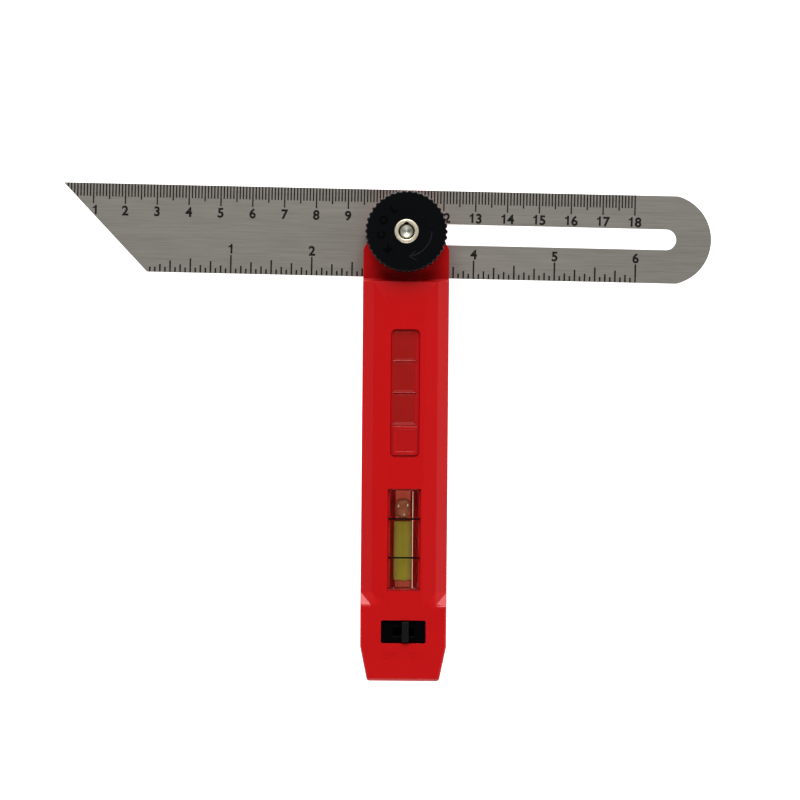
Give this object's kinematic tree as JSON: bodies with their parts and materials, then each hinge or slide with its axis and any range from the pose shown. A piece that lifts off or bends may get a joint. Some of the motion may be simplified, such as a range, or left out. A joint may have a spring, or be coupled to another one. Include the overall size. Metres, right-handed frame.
{
  "type": "sliding bevel gauge",
  "caption": "Sliding bevel gauge: a slotted stainless rule swings and slides in a forked red handle with a knurled lock knob, a level vial and a switched lamp.",
  "frame": {"origin": "on the pivot axis, in the plane of the handle's rear face", "axes": "+X along the blade towards its round end (the blade is 0.84 degrees off X at rest), +Y up the handle from the butt to the pivot, +Z from the rear face towards the knob"},
  "size_m": [0.2035, 0.1548, 0.0208],
  "materials": {
    "red_abs": "satin moulded ABS",
    "dark_red_plastic": "smooth moulded, slightly see-through",
    "black_abs": "fine moulded texture",
    "brushed_stainless": "brushed along its length, etched scales",
    "zinc_steel": "bright zinc plate",
    "cell_steel": "pressed nickel-plated steel",
    "nickel_brass": "nickel-plated brass",
    "fibre": "pressed fibre",
    "acrylic": "clear polished acrylic",
    "lamp_epoxy": "clear cast epoxy",
    "vial_fluid": "clear yellow-green fluid",
    "board": "green solder mask",
    "red_pvc": "extruded PVC",
    "resistor_body": "dipped lacquer"
  },
  "bodies": {
    "handle": {"handle_front_body": "red_abs", "handle_back_plate": "red_abs", "inner_cover": "red_abs", "handle_screw_1": "zinc_steel", "handle_screw_2": "zinc_steel", "handle_screw_3": "zinc_steel", "handle_screw_4": "zinc_steel", "cover_screw_1": "zinc_steel", "cover_screw_2": "zinc_steel", "pivot_bolt": "zinc_steel", "friction_washer_back": "fibre", "friction_washer_front": "fibre", "vial_body": "acrylic", "vial_liquid": "vial_fluid", "vial_plug": "acrylic", "vial_ring_upper": "black_abs", "vial_ring_lower": "black_abs", "button_cell_1": "cell_steel", "button_cell_2": "cell_steel", "button_cell_3": "cell_steel", "contact_first": "nickel_brass", "contact_last": "nickel_brass", "link_lower": "nickel_brass", "vial_lamp": "lamp_epoxy", "lamp_leg_left": "zinc_steel", "lamp_leg_right": "zinc_steel", "lamp_resistor": "resistor_body", "circuit_board": "board", "switch_housing": "black_abs", "switch_terminal_1": "zinc_steel", "switch_terminal_2": "zinc_steel", "switch_terminal_3": "zinc_steel", "lead_positive": "red_pvc", "lead_negative": "black_abs"},
    "bush": {"slot_bush": "zinc_steel"},
    "rule": {"blade": "brushed_stainless"},
    "knob_carrier": {"knob_washer": "zinc_steel"},
    "knob": {"lock_knob": "black_abs", "knob_insert": "nickel_brass"},
    "slider": {"switch_slider": "black_abs"},
    "lid": {"battery_cover": "dark_red_plastic", "link_upper": "nickel_brass"}
  },
  "joints": [
    {"name": "blade_swing", "type": "hinge", "parent": "handle", "child": "bush", "pos_m": [0, 0, 0.0062], "axis": [0, 0, 1], "range_deg": [-89, 75]},
    {"name": "blade_slide", "type": "slide", "parent": "bush", "child": "rule", "axis": [-0.9999, 0.0147, 0], "range_m": [-0.003, 0.079]},
    {"name": "knob_lift", "type": "slide", "parent": "handle", "child": "knob_carrier", "axis": [0, 0, 1], "range_m": [0, 0.0016]},
    {"name": "knob_turn", "type": "hinge", "parent": "knob_carrier", "child": "knob", "pos_m": [0, 0, 0.0167], "axis": [0, 0, 1], "range_deg": [0, 720]},
    {"name": "switch_slide", "type": "slide", "parent": "handle", "child": "slider", "axis": [1, 0, 0], "range_m": [-0.0026, 0.0014]},
    {"name": "cover_lift", "type": "slide", "parent": "handle", "child": "lid", "axis": [0, 0, 1], "range_m": [0, 0.012]}
  ],
  "couplings": [
    {"joint": "knob_turn", "follows": "knob_lift", "rad_per_m": 7854}
  ]
}
